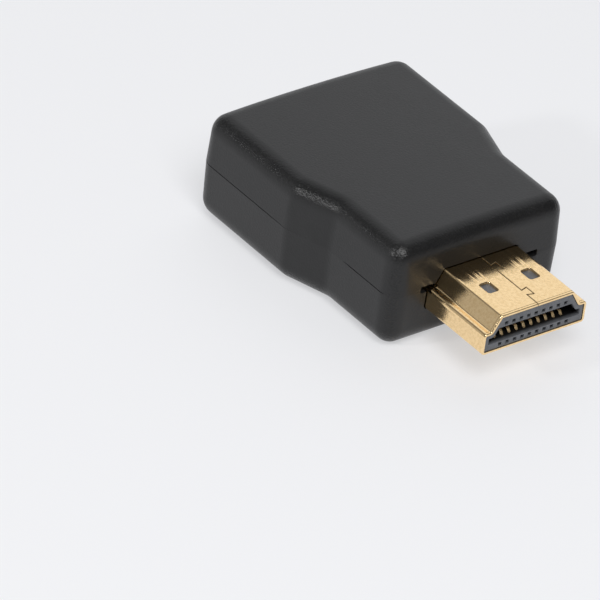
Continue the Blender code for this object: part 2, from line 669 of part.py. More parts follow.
def build_bezel(material, parent):
    """Plate in the housing's window with retaining ears behind the wall and a collar on the socket."""
    plate = rectangle(BEZEL_WIDTH, BEZEL_HEIGHT, BEZEL_CORNER_RADIUS, BEZEL_MIDDLE)
    bezel = add_part("socket_bezel", prism(at_x, plate, FACE_X, BEZEL_THICKNESS), material, parent)
    ear_start = INNER_INSET + LIP_CLEARANCE
    half_width = BEZEL_WIDTH / 2 + BEZEL_EAR_REACH
    half_height = BEZEL_EAR_HEIGHT / 2
    ears = box((ear_start, -half_width, BEZEL_MIDDLE - half_height),
               (ear_start + BEZEL_EAR_THICKNESS, half_width, BEZEL_MIDDLE + half_height))
    collar = prism(at_x, socket_outline(COLLAR_MARGIN), BEZEL_THICKNESS / 2, COLLAR_LENGTH)
    shape(bezel, "UNION", [ears, collar])
    sleeve = SOCKET_OUTER_MARGIN - RIM_GAP
    mouth = sleeve - MOUTH_FLARE
    bore = [(-CUT_OVERSHOOT, mouth), (FACE_X + MOUTH_EDGE, mouth), (FACE_X + MOUTH_FLARE_LENGTH, sleeve),
            (COLLAR_LENGTH + CUT_OVERSHOOT, sleeve)]
    recess = prism(at_x, socket_outline(mouth - RIM_RECESS_WIDTH), -CUT_OVERSHOOT, FACE_X + RIM_RECESS_DEPTH)
    shape(bezel, "DIFFERENCE", [loft([at_x(socket_outline(margin), x) for x, margin in bore]), recess])


def build_board(board_material, array_material, parent):
    """Board between the two connectors, with four protection arrays on its upper face."""
    half_width = BOARD_WIDTH / 2
    half_thickness = BOARD_THICKNESS / 2
    corners = [(BOARD_START, -half_width, BOARD_CORNER_RADIUS), (BOARD_END, -half_width, BOARD_CORNER_RADIUS),
               (BOARD_END, half_width, BOARD_CORNER_RADIUS), (BOARD_START, half_width, BOARD_CORNER_RADIUS)]
    board = prism(at_z, rounded_outline(corners), ROW_PLANE - half_thickness, ROW_PLANE + half_thickness)
    add_part("circuit_board", board, board_material, parent)
    foot = ROW_PLANE + half_thickness + SOLDER_GAP
    places = [(x, y) for x in (-ARRAY_SETBACK, ARRAY_SETBACK)
              for y in (-ARRAY_SPACING / 2, ARRAY_SPACING / 2)]
    for index, (x, y) in enumerate(places):
        low = (BOARD_MIDDLE + x - ARRAY_WIDTH / 2, y - ARRAY_LENGTH / 2, foot)
        high = (BOARD_MIDDLE + x + ARRAY_WIDTH / 2, y + ARRAY_LENGTH / 2, foot + ARRAY_HEIGHT)
        array = add_part(f"surge_array_{index + 1}", box(low, high), array_material, parent)
        bevel = array.modifiers.new("edges", "BEVEL")
        bevel.width = ARRAY_BEVEL * MM
        bevel.segments = 1


def build():
    for obj in list(bpy.data.objects):
        bpy.data.objects.remove(obj)
    assembly = bpy.data.objects.new("assembly", None)
    assembly.location.x = -OVERALL_LENGTH / 2 * MM
    bpy.context.scene.collection.objects.link(assembly)
    plastic = make_material("black_plastic", (0.028, 0.028, 0.03), 0.55, 0.0)
    gold = make_material("gold_plate", (0.83, 0.6, 0.32), 0.2, 1.0)
    resin = make_material("grey_resin", (0.07, 0.075, 0.085), 0.5, 0.0)
    laminate = make_material("board_laminate", (0.01, 0.09, 0.03), 0.4, 0.0)
    epoxy = make_material("array_epoxy", (0.01, 0.01, 0.01), 0.45, 0.0)
    build_shell("lower_shell", False, plastic, assembly)
    build_shell("upper_shell", True, plastic, assembly)
    build_bezel(plastic, assembly)
    build_plug_shell(gold, assembly)
    build_plug_insulator(resin, assembly)
    build_plug_contacts(gold, assembly)
    build_socket_shell(gold, assembly)
    build_socket_insulator(resin, assembly)
    build_socket_contacts(gold, assembly)
    build_board(laminate, epoxy, assembly)


build()
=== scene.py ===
"""Looks of the inline surge protector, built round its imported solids.

Sizes are in millimetres in the model's own frame and become metres as each mesh is made. X runs from
the socket's mouth to the plug's tip, Y across and Z up. Ends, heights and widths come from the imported
nodes; what a box can't tell, such as a wall or a radius, is named here.
"""
import json

import bmesh
import bpy
import numpy as np
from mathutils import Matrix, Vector

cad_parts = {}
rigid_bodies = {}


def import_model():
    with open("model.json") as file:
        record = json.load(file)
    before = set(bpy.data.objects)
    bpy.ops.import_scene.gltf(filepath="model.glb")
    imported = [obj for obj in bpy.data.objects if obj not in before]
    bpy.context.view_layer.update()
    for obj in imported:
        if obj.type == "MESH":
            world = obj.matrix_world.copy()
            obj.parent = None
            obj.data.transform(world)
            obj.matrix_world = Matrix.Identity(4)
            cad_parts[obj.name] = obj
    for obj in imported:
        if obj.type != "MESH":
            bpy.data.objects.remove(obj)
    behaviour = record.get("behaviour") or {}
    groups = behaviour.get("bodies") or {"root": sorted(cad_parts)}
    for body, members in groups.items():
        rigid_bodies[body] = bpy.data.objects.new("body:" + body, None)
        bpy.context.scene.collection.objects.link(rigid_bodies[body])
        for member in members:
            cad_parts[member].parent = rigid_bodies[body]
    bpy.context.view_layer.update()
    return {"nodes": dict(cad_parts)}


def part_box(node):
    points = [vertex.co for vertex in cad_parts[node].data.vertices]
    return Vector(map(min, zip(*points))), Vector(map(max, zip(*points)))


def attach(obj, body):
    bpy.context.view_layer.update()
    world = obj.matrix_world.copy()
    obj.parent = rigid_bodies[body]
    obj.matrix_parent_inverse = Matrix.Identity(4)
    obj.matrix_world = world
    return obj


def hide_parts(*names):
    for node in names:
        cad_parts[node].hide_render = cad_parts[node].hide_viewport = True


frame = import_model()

MM = 0.001


def node_box(name):
    """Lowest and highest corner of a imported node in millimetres."""
    low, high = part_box(name)
    return np.array(low) / MM, np.array(high) / MM


UPPER_LOW, UPPER_HIGH = node_box("upper_shell")
LOWER_LOW = node_box("lower_shell")[0]
BEZEL_LOW, BEZEL_HIGH = node_box("socket_bezel")
PLUG_LOW, PLUG_HIGH = node_box("plug_shell")
SLEEVE_LOW = node_box("socket_shell")[0]
PLUG_BLOCK_LOW, PLUG_BLOCK_HIGH = node_box("plug_insulator")
SOCKET_BLOCK_LOW, SOCKET_BLOCK_HIGH = node_box("socket_insulator")

# Housing
SOCKET_END = UPPER_LOW[0]
PLUG_END = UPPER_HIGH[0]
TOP = UPPER_HIGH[2]
BOTTOM = LOWER_LOW[2]
WIDE_HALF = UPPER_HIGH[1]
NARROW_HALF = 11.75
JOG_START = SOCKET_END + 15.7
JOG_END = SOCKET_END + 21.1
PLAN_CORNER_RADIUS = 2.2
JOG_RADIUS = 3.0
TOP_EDGE_RADIUS = 2.1
BOTTOM_EDGE_RADIUS = 2.4
CROWN = 0.28
BOW = 0.12
BOW_LENGTH = 8.0
SPINE_INSET = 9.0
CROWN_STEPS = 8
SIDE_DRAFT = 0.15
WALL = 1.6
PARTING_GAP = 0.06
PARTING = UPPER_LOW[2] - PARTING_GAP / 2
PARTING_BEVEL = 0.055
WALL_STEP = 0.06
WALL_STEP_DRAFT = SIDE_DRAFT * 0.98
BEVEL_STEP = 1.5
BEVEL_STEP_INSET = 0.002
LIP_HEIGHT = 0.8
LIP_CLEARANCE = 0.1
INNER_RADIUS = 0.6
SEAM_OPEN = 0.65
SEAM_CLOSED = 0.03
SEAM_FADE = 6.0
SEAM_STEP = 1.0
SEAM_WIDE_END = JOG_START + 1.5
SEAM_START = JOG_END + 2.4
SEAM_END = PLUG_END - 1.2

# Openings in the end walls
PLUG_OPENING_GAP = 0.09
OPENING_EDGE = 0.12
NOTCH_HALF_WIDTH = 0.92
NOTCH_HALF_HEIGHT = 0.38
NOTCH_CORNER_RADIUS = 0.12
NOTCH_EDGE = 0.08
BEZEL_GAP = 0.08

# Plug shell, as a D about the connector's axis with its narrow side up
AXIS_HEIGHT = (PLUG_LOW[2] + PLUG_HIGH[2]) / 2
PLUG_HALF_HEIGHT = (PLUG_HIGH[2] - PLUG_LOW[2]) / 2
PLUG_HALF_WIDTH = 6.95
PLUG_SIDE_HEIGHT = 2.66
PLUG_SHELF = 0.95
PLUG_SLANT = 1.1
PLUG_CORNER_RADIUS = 0.45
HOLLOW_RADIUS = 0.3
PLUG_SHEET = 0.3
RIM = PLUG_HIGH[0]
RIM_RADIUS = 0.11
RIM_INNER_RADIUS = 0.03
RIM_GROOVE_DEPTH = 0.03
RIM_GROOVE_WIDTH = 0.1
RIM_GROOVE_SETBACK = 0.3
LATCH_HOLE_SPACING = 5.6
LATCH_HOLE_SETBACK = 4.9
LATCH_HOLE_LENGTH = 1.85
LATCH_HOLE_WIDTH = 1.4
LATCH_HOLE_RADIUS = 0.3
HOLE_EDGE = 0.07
SEAM_WIDTH = 0.075
SEAM_EDGE = 0.05
SEAM_TAB_SETBACKS = (2.4, 7.6)
SEAM_TAB_LENGTH = 1.35
SEAM_TAB_REACH = 0.8
SEAM_TAB_UNDERCUT = 0.22

# Contacts
PITCH = 1.0
WIDE_ROW_COUNT = 10
NARROW_ROW_COUNT = 9
ROW_PLANE = AXIS_HEIGHT - 0.25
CONTACT_WIDTH = 0.36
CONTACT_SHEET = 0.14
CONTACT_EDGE = CONTACT_SHEET / 5
CONTACT_BEND = 0.3
ROW_HEIGHT = 1.25
ARCH_HEIGHT = 0.55
ARCH_SETBACK = 1.45
TIP_RUN = ARCH_SETBACK / 10
BEAM_END_SETBACK = 5.0
CHANNEL_WEB = 0.9
CHANNEL_CLEARANCE = 0.05
TAIL_LENGTH = 1.5
TAIL_BEND = 0.4
BOARD_HALF_THICKNESS = 0.8
SOLDER_GAP = 0.03
TAIL_HEIGHT = BOARD_HALF_THICKNESS + SOLDER_GAP + CONTACT_SHEET / 2
TONGUE_HALF_HEIGHT = 0.65
GROOVE_DEPTH = 0.1
GROOVE_FLOOR_GAP = 0.02
SOCKET_CONTACT_SETBACK = 0.35

# Socket and bezel
MATING_CLEARANCE = 0.05
SOCKET_CORNER_RADIUS = 0.1
SLEEVE_SHEET = 0.3
MOUTH_FLARE = 0.3
MOUTH_FLARE_LENGTH = 0.7
MOUTH_EDGE = 0.08
FLARE_BEND = 0.1
RIM_GAP = 0.06
RECESS_WIDTH = 1.0
RECESS_DEPTH = 0.12
BEZEL_HALF_WIDTH = 9.6
BEZEL_WINDOW_LOW = BEZEL_LOW[2]
BEZEL_WINDOW_HIGH = BEZEL_HIGH[2]
BEZEL_CORNER_RADIUS = 0.25
BEZEL_THICKNESS = 2.8
BEZEL_EDGE = 0.1
BEZEL_FACE_INSET = BEZEL_EDGE * 1.3
RECESS_EDGE = 0.05
SLEEVE_OUTER = -MATING_CLEARANCE - SLEEVE_SHEET
SLEEVE_HIGH_X = SOCKET_END + 11.0
SPRING_SPACING = 5.6
SPRING_WIDTH = 1.5
SPRING_SHEET = 0.24
SPRING_WINDOW_START = 1.5
SPRING_WINDOW_LENGTH = 5.6
SPRING_SIDE_GAP = 0.35
SPRING_REACH = 0.6
SPRING_ROOT = 0.5
SPRING_CREST_SETBACK = 1.4
SPRING_BEND = 0.8
BLOCK_EDGE = 0.03

# Circuit board and its arrays
BOARD_LOW, BOARD_HIGH = node_box("circuit_board")
ARRAY_COUNT = 4
ARRAY_EDGE = 0.04

# Camera, solved from the body's edges in the photograph: millimetres and degrees
CAMERA_PLACE = (482.68, -445.49, 434.45)
CAMERA_TURN = (55.926, -6.737, 52.783)
LENS = 441.44
SENSOR_WIDTH = 36.0

# Light: the room's strength, its bright walls as (direction, outer cosine, inner cosine, strength), and
# its panels as (name, direction, distance, size, power) in metres and watts
ROOM_COLOUR = (0.97, 0.98, 1.0, 1)
ROOM_STRENGTH = 0.17
WALLS = [((-0.617, 0.555, 0.50), 0.66, 0.90, 0.78),
         ((-0.75, -0.65, 0.10), 0.70, 0.95, 0.28)]
FLOOR_COLOUR = (0.885, 0.89, 0.91, 1)
FLOOR_ROUGHNESS = 0.7
FLOOR_GLOW = 0.55
FLOOR_REACH = 4
FLOOR_DROP = 0.00002
LAMPS = [("key_panel", (0.60, -0.35, 0.95), 0.9, (0.45, 0.45), 5.3),
         ("edge_panel", (-0.14, -0.87, 0.47), 0.8, (0.10, 0.06), 1.5)]

# Colours, as (red, green, blue, alpha) in linear light: dark and pale, bright and rubbed, or painted shade
# in a depth
HOUSING_DARK, HOUSING_PALE = (0.0092, 0.0092, 0.0095, 1), (0.0118, 0.0118, 0.0121, 1)
# Dark specks on the rounded edges: partly grain, partly painted shade that darkens the edge band
HOUSING_PITS_AND_SHADE = (0.004, 0.004, 0.004, 1)
BEZEL_DARK, BEZEL_PALE = (0.018, 0.018, 0.019, 1), (0.024, 0.024, 0.025, 1)
GOLD_BRIGHT, GOLD_RUBBED = (1.0, 0.745, 0.415, 1), (0.86, 0.60, 0.30, 1)
# Painted shade that darkens the sleeve's gold towards its depth
GOLD_PAINTED_SHADE = (0.10, 0.065, 0.035, 1)
GREY_DARK, GREY_PALE = (0.105, 0.110, 0.120, 1), (0.145, 0.150, 0.162, 1)
BLACK_DARK, BLACK_PALE = (0.016, 0.015, 0.014, 1), (0.026, 0.025, 0.024, 1)
# Painted shade inside the insulators' slots
RESIN_PAINTED_SHADE = (0.005, 0.005, 0.005, 1)
MASK_DARK, MASK_PALE = (0.008, 0.075, 0.028, 1), (0.014, 0.105, 0.040, 1)
EPOXY_DARK, EPOXY_PALE = (0.009, 0.009, 0.009, 1), (0.022, 0.022, 0.022, 1)

# Stations behind a front face between which painted shade deepens
SLEEVE_PAINTED_SHADE = (0.3, 1.6)
GREY_PAINTED_SHADE = (0.08, 0.6)
BLACK_PAINTED_SHADE = (0.5, 3)
SKIN_DEPTH = 0.1

# Fineness of the surfaces
ARC_STEPS = 14
SMALL_ARC_STEPS = 6
EDGE_STEPS = 5
RECESS_STEPS = 4
CONTACT_EDGE_STEPS = 2
STRAIGHT_STEPS = 10
SMALLEST_ARC = 0.05
ARC_ROOM = 0.48
OVERSHOOT = 1.0
SHARP_ANGLE = np.radians(32)
FACET_ANGLE = np.radians(1)
BEVEL_ANGLE = np.radians(40)
MERGE_DISTANCE = 0.0002
FACET_MERGE_DISTANCE = 0.0005

# Attribute that is 1 on rounded edges, and the largest part of a normal on a flat and how far it falls
ROUNDING = "rounding"
FLAT_NORMAL = 0.95
ROUNDING_FALL = 0.12


# Outlines and surfaces

def rounded_outline(corners, insets, arc_steps=ARC_STEPS):
    """Anticlockwise outlines with rounded corners, one for each inset: (insets, points, 2).

    Each corner moves inwards by inset (n + m) / (1 + n.m), with n and m the inward normals of its two
    sides. Its arc of radius r, less the inset where it is convex and more where it is hollow, is a turn
    of the arm from its centre in equal steps. Straight sides get points that crowd towards the arcs.
    """
    corners = np.asarray(corners, float)
    insets = np.atleast_1d(np.asarray(insets, float))[:, None]
    place, radius = corners[:, :2], corners[:, 2]
    before = place - np.roll(place, 1, 0)
    before /= np.linalg.norm(before, axis=1, keepdims=True)
    after = np.roll(before, -1, 0)
    inward = np.stack([-before[:, 1], before[:, 0]], 1)
    onward = np.stack([-after[:, 1], after[:, 0]], 1)
    turn = np.arctan2(before[:, 0] * after[:, 1] - before[:, 1] * after[:, 0], (before * after).sum(1))
    share = (inward + onward) / (1 + (inward * onward).sum(1))[:, None]
    moved = place + insets[..., None] * share
    side_length = np.linalg.norm(moved - np.roll(moved, 1, 1), axis=2)
    room = ARC_ROOM * np.minimum(side_length, np.roll(side_length, -1, 1)) / np.tan(abs(turn) / 2)
    arc = np.minimum(np.maximum(radius - np.sign(turn) * insets, SMALLEST_ARC), room)
    start = moved - before * (arc * np.tan(abs(turn) / 2))[..., None]
    centre = start + inward * (np.sign(turn) * arc)[..., None]
    arm = (start - centre)[:, :, None]
    angle = turn[:, None] * np.linspace(0, 1, arc_steps + 1)
    arcs = centre[:, :, None] + np.stack([arm[..., 0] * np.cos(angle) - arm[..., 1] * np.sin(angle),
                                          arm[..., 0] * np.sin(angle) + arm[..., 1] * np.cos(angle)], -1)
    way = (1 - np.cos(np.pi * np.arange(1, STRAIGHT_STEPS) / STRAIGHT_STEPS)) / 2
    ends, starts = arcs[:, :, -1:], np.roll(arcs[:, :, :1], -1, 1)
    straights = ends + (starts - ends) * way[:, None]
    return np.concatenate([arcs, straights], 2).reshape(len(insets), -1, 2)


def quarter(first, last, steps=ARC_STEPS):
    """Cosines and sines of a run of angles from first to last, in degrees."""
    angle = np.radians(np.linspace(first, last, steps + 1))
    return np.cos(angle), np.sin(angle)


def stations(outlines, place):
    """One place for each outline, repeated for all its points."""
    return np.broadcast_to(np.reshape(place, (-1, 1, 1)), outlines[..., :1].shape)


def across_x(outlines, x):
    """Rings in planes of constant x from (y, z) outlines."""
    return np.concatenate([stations(outlines, x), outlines], -1)


def across_z(outlines, z):
    """Rings in planes of constant z from (x, y) outlines."""
    return np.concatenate([outlines, stations(outlines, z)], -1)


def skin(grid, along=False, first_cap=True):
    """Quads between the neighbouring points of a grid of closed rings, (rings, points, 3).

    The last ring joins the first when the grid closes along its length, and else each end gets a cap,
    the first one only if it is asked for.
    """
    rings, size = grid.shape[:2]
    index = np.arange(rings * size).reshape(rings, size)
    index = np.concatenate([index, index[:, :1]], 1)
    if along:
        index = np.concatenate([index, index[:1]], 0)
    quads = np.stack([index[:-1, :-1], index[:-1, 1:], index[1:, 1:], index[1:, :-1]], -1)
    faces = quads.reshape(-1, 4).tolist()
    if not along:
        faces.append(index[-1, :-1].tolist())
        if first_cap:
            faces.append(index[0, -2::-1].tolist())
    return grid.reshape(-1, 3), faces


def joined(surfaces):
    """One set of vertices and faces from several."""
    vertices, faces, count = [], [], 0
    for points, polygons in surfaces:
        vertices.append(points)
        faces += [[corner + count for corner in polygon] for polygon in polygons]
        count += len(points)
    return np.concatenate(vertices), faces


def add_object(name, surface):
    """Object at the origin whose mesh holds the surface in metres, its faces turned outwards."""
    points, faces = surface
    mesh = bpy.data.meshes.new(name)
    mesh.from_pydata((points * MM).tolist(), [], faces)
    form = bmesh.new()
    form.from_mesh(mesh)
    bmesh.ops.remove_doubles(form, verts=form.verts, dist=MERGE_DISTANCE * MM)
    bmesh.ops.recalc_face_normals(form, faces=form.faces)
    form.to_mesh(mesh)
    form.free()
    piece = bpy.data.objects.new(name, mesh)
    bpy.context.scene.collection.objects.link(piece)
    return piece


def carve(piece, operation, surfaces):
    """Exact Boolean of the piece with closed surfaces, all at once, kept as the piece's own mesh.

    The faces of no area that cutting leaves along straight edges are dissolved.
    """
    tools = bpy.data.collections.new("tools")
    bpy.context.scene.collection.children.link(tools)
    for surface in surfaces:
        tool = add_object("tool", surface)
        bpy.context.scene.collection.objects.unlink(tool)
        tools.objects.link(tool)
    modifier = piece.modifiers.new("carve", "BOOLEAN")
    modifier.operation = operation
    modifier.solver = "EXACT"
    modifier.operand_type = "COLLECTION"
    modifier.collection = tools
    keep_modified(piece)
    form = bmesh.new()
    form.from_mesh(piece.data)
    bmesh.ops.remove_doubles(form, verts=form.verts, dist=MERGE_DISTANCE * MM)
    bmesh.ops.triangulate(form, faces=[face for face in form.faces if len(face.verts) > 4])
    bmesh.ops.dissolve_degenerate(form, dist=MERGE_DISTANCE * MM, edges=form.edges)
    form.to_mesh(piece.data)
    form.free()
    for tool in list(tools.objects):
        bpy.data.meshes.remove(tool.data)
    bpy.data.collections.remove(tools)


def keep_modified(piece):
    """The piece's mesh as its modifiers leave it, with the modifiers gone."""
    graph = bpy.context.evaluated_depsgraph_get()
    made = bpy.data.meshes.new_from_object(piece.evaluated_get(graph))
    old = piece.data
    piece.modifiers.clear()
    piece.data = made
    bpy.data.meshes.remove(old)
    made.name = piece.name


def finish_piece(piece, material, replaced):
    """Smooth shading with sharp edges kept, the material, the root body, and the imported nodes it stands
    for hidden.
    """
    piece.data.shade_smooth()
    piece.data.set_sharp_from_angle(angle=SHARP_ANGLE)
    normals = piece.modifiers.new("normals", "WEIGHTED_NORMAL")
    normals.keep_sharp = True
    normals.weight = 100
    keep_modified(piece)
    piece.data.materials.clear()
    piece.data.materials.append(material)
    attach(piece, "root")
    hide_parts(*replaced)
    return piece


# Materials

class Shader:
    """A material's nodes, made and linked by short calls."""

    def __init__(self, name):
        self.material = bpy.data.materials.new(name)
        self.material.use_nodes = True
        self.tree = self.material.node_tree
        self.surface = self.tree.nodes["Principled BSDF"]
        self.place = self.node("ShaderNodeTexCoord").outputs["Object"]

    def node(self, kind, inputs=None, **settings):
        node = self.tree.nodes.new(kind)
        for key, value in settings.items():
            setattr(node, key, value)
        for key, value in (inputs or {}).items():
            self.put(value, node.inputs[key])
        return node

    def put(self, value, socket):
        if isinstance(value, bpy.types.NodeSocket):
            self.tree.links.new(value, socket)
        else:
            socket.default_value = value

    def noise(self, grain, detail=2.0, roughness=0.5, stretch=(1, 1, 1)):
        """Noise whose features are about grain millimetres across, drawn out along an axis by stretch."""
        scale = tuple(1 / (grain * MM * s) for s in stretch)
        place = self.node("ShaderNodeMapping", {"Vector": self.place, "Scale": scale})
        return self.node("ShaderNodeTexNoise", {"Vector": place.outputs[0], "Scale": 1.0, "Detail": detail,
                                                "Roughness": roughness}).outputs["Fac"]

    def remap(self, value, low, high, to_low, to_high):
        return self.node("ShaderNodeMapRange", {"Value": value, "From Min": low, "From Max": high,
                                                "To Min": to_low, "To Max": to_high}).outputs[0]

    def along(self, axis, start, stop):
        """Share that runs from 0 at one station along an axis to 1 at the other, in millimetres."""
        way = self.node("ShaderNodeSeparateXYZ", {"Vector": self.place}).outputs[axis]
        return self.remap(way, start * MM, stop * MM, 0, 1)

    def math(self, operation, a, b):
        return self.node("ShaderNodeMath", {0: a, 1: b}, operation=operation).outputs[0]

    def blend(self, share, a, b):
        mix = self.node("ShaderNodeMix", data_type="RGBA")
        self.put(share, mix.inputs[0])
        self.put(a, mix.inputs[6])
        self.put(b, mix.inputs[7])
        return mix.outputs[2]

    def bump(self, height, depth, normal=None):
        """Normal of a relief that is depth millimetres deep."""
        node = self.node("ShaderNodeBump", {"Height": height, "Strength": 1.0, "Distance": depth * MM})
        if normal:
            self.put(normal, node.inputs["Normal"])
        return node.outputs[0]


def eroded_plastic():
    """Black moulding from a spark-eroded tool, faintly mottled, its pits deeper on the rounded edges, whose
    speckled dark colour is partly grain and partly painted shade that darkens the edge band.
    """
    s = Shader("eroded_plastic")
    grain = s.noise(0.19, 3, 0.6)
    pits = s.node("ShaderNodeTexVoronoi", {"Vector": s.place, "Scale": 1 / (0.25 * MM)}).outputs["Distance"]
    mottle = s.noise(2.6, 3, 0.55)
    rounding = s.node("ShaderNodeAttribute", attribute_name=ROUNDING).outputs["Fac"]
    relief = s.math("ADD", grain, s.remap(pits, 0, 0.8, 0.0, 0.5))
    deeper = s.math("MULTIPLY", relief, s.remap(rounding, 0, 1, 0.4, 1.5))
    plain = s.blend(s.remap(mottle, 0.35, 0.65, 0, 1), HOUSING_DARK, HOUSING_PALE)
    # Dark specks on the rounded edges: partly grain, partly painted shade that darkens the edge band
    pits_and_painted_shade = s.math("MULTIPLY", rounding, s.remap(grain, 0.42, 0.62, 0, 1))
    s.put(s.blend(pits_and_painted_shade, plain, HOUSING_PITS_AND_SHADE), s.surface.inputs["Base Color"])
    even = s.math("ADD", s.remap(grain, 0.3, 0.7, 0.34, 0.44), s.remap(mottle, 0.3, 0.7, -0.03, 0.03))
    s.put(s.math("MULTIPLY", even, s.remap(rounding, 0, 1, 1, 0.8)), s.surface.inputs["Roughness"])
    s.put(s.bump(deeper, 0.03), s.surface.inputs["Normal"])
    s.put(0.42, s.surface.inputs["Specular IOR Level"])
    return s.material


def bezel_plastic():
    """Black insert of the socket, a little smoother than the housing."""
    s = Shader("bezel_plastic")
    grain = s.noise(0.10, 2, 0.5)
    mottle = s.noise(1.8, 2, 0.5)
    s.put(s.blend(mottle, BEZEL_DARK, BEZEL_PALE), s.surface.inputs["Base Color"])
    s.put(s.remap(grain, 0.3, 0.7, 0.44, 0.54), s.surface.inputs["Roughness"])
    s.put(s.bump(grain, 0.006), s.surface.inputs["Normal"])
    return s.material


def gold(name, roughness, ripple, metallic=1.0, painted_shade=None):
    """Plated sheet: drawing lines along X, slow waves from the press, and small rubbed spots.

    Given the stations, painted shade darkens the colour along X between them, in the depth of a sleeve.
    """
    s = Shader(name)
    lines = s.noise(0.06, 2, 0.6, stretch=(60, 1, 1))
    waves = s.noise(1.6, 1, 0.4, stretch=(2.2, 1, 1))
    spots = s.noise(0.35, 3, 0.65)
    flecks = s.noise(0.16, 2, 0.6)
    tint = s.blend(s.remap(spots, 0.4, 0.75, 0, 1), GOLD_BRIGHT, GOLD_RUBBED)
    if painted_shade:
        # Painted shade: the gold darkens along X into the sleeve's depth
        tint = s.blend(s.along("X", *painted_shade), tint, GOLD_PAINTED_SHADE)
    s.put(tint, s.surface.inputs["Base Color"])
    s.put(metallic, s.surface.inputs["Metallic"])
    s.put(s.math("ADD", s.remap(spots, 0.35, 0.75, roughness * 0.75, roughness * 1.4),
                 s.remap(lines, 0.3, 0.7, 0.0, 0.05)), s.surface.inputs["Roughness"])
    relief = s.bump(lines, 0.0006, s.bump(flecks, ripple * 0.55, s.bump(waves, ripple)))
    s.put(relief, s.surface.inputs["Normal"])
    return s.material


def moulded_resin(name, dark, pale, painted_shade, skin_height):
    """Glass-filled resin of the insulators, with paler flow marks.

    Painted shade darkens it along X into the slot, but not on the outside, above the skin's height.
    """
    s = Shader(name)
    grain = s.noise(0.05, 2, 0.6)
    flow = s.noise(0.9, 3, 0.6, stretch=(3, 1, 1))
    tint = s.blend(s.remap(flow, 0.35, 0.7, 0, 1), dark, pale)
    # Painted shade inside the slot, kept off the outer skin
    painted_shade_share = s.math("MULTIPLY", s.along("X", *painted_shade), s.along("Z", skin_height, skin_height - SKIN_DEPTH))
    s.put(s.blend(painted_shade_share, tint, RESIN_PAINTED_SHADE), s.surface.inputs["Base Color"])
    s.put(s.remap(grain, 0.3, 0.7, 0.38, 0.5), s.surface.inputs["Roughness"])
    s.put(s.bump(grain, 0.003), s.surface.inputs["Normal"])
    return s.material


def board_laminate():
    """Green solder mask over glass cloth, whose weave shows as a faint relief."""
    s = Shader("board_laminate")
    weave = s.node("ShaderNodeTexWave", {"Vector": s.place, "Scale": 1 / (0.5 * MM) / 6.283,
                                         "Distortion": 0.6})
    cloth = s.noise(0.4, 2, 0.5)
    s.put(s.blend(cloth, MASK_DARK, MASK_PALE), s.surface.inputs["Base Color"])
    s.put(s.remap(cloth, 0.3, 0.7, 0.28, 0.36), s.surface.inputs["Roughness"])
    s.put(s.bump(weave.outputs["Fac"], 0.004), s.surface.inputs["Normal"])
    return s.material


def array_epoxy():
    """Matt black moulding compound with the sparkle of its filler."""
    s = Shader("array_epoxy")
    grain = s.noise(0.06, 3, 0.7)
    s.put(s.blend(grain, EPOXY_DARK, EPOXY_PALE), s.surface.inputs["Base Color"])
    s.put(s.remap(grain, 0.3, 0.7, 0.45, 0.62), s.surface.inputs["Roughness"])
    s.put(s.bump(grain, 0.004), s.surface.inputs["Normal"])
    return s.material


# Housing

def plan_corners():
    """Housing outline from above at the parting plane, as (x, y, radius)."""
    side = [(SOCKET_END, -WIDE_HALF, PLAN_CORNER_RADIUS), (JOG_START, -WIDE_HALF, JOG_RADIUS),
            (JOG_END, -NARROW_HALF, JOG_RADIUS), (PLUG_END, -NARROW_HALF, PLAN_CORNER_RADIUS)]
    return side + [(x, -y, radius) for x, y, radius in reversed(side)]


def seam_openness(x, y):
    """How far the parting line stands open along the sides; it is nearly closed on the jogs and ends.

    A product of smooth steps s(t) = t t (3 - 2 t) across the two ends of each open stretch.
    """
    def step(value, start, stop):
        t = np.clip((value - start) / (stop - start), 0, 1)
        return t * t * (3 - 2 * t)
    wide = 1 - step(x, SEAM_WIDE_END - SEAM_FADE, SEAM_WIDE_END)
    narrow = step(x, SEAM_START, SEAM_START + SEAM_STEP) * (1 - step(x, SEAM_END - SEAM_STEP, SEAM_END))
    ends = step(abs(y), NARROW_HALF - PLAN_CORNER_RADIUS, NARROW_HALF)
    return SEAM_CLOSED + (SEAM_OPEN - SEAM_CLOSED) * np.maximum(wide, narrow) * np.maximum(ends, wide)


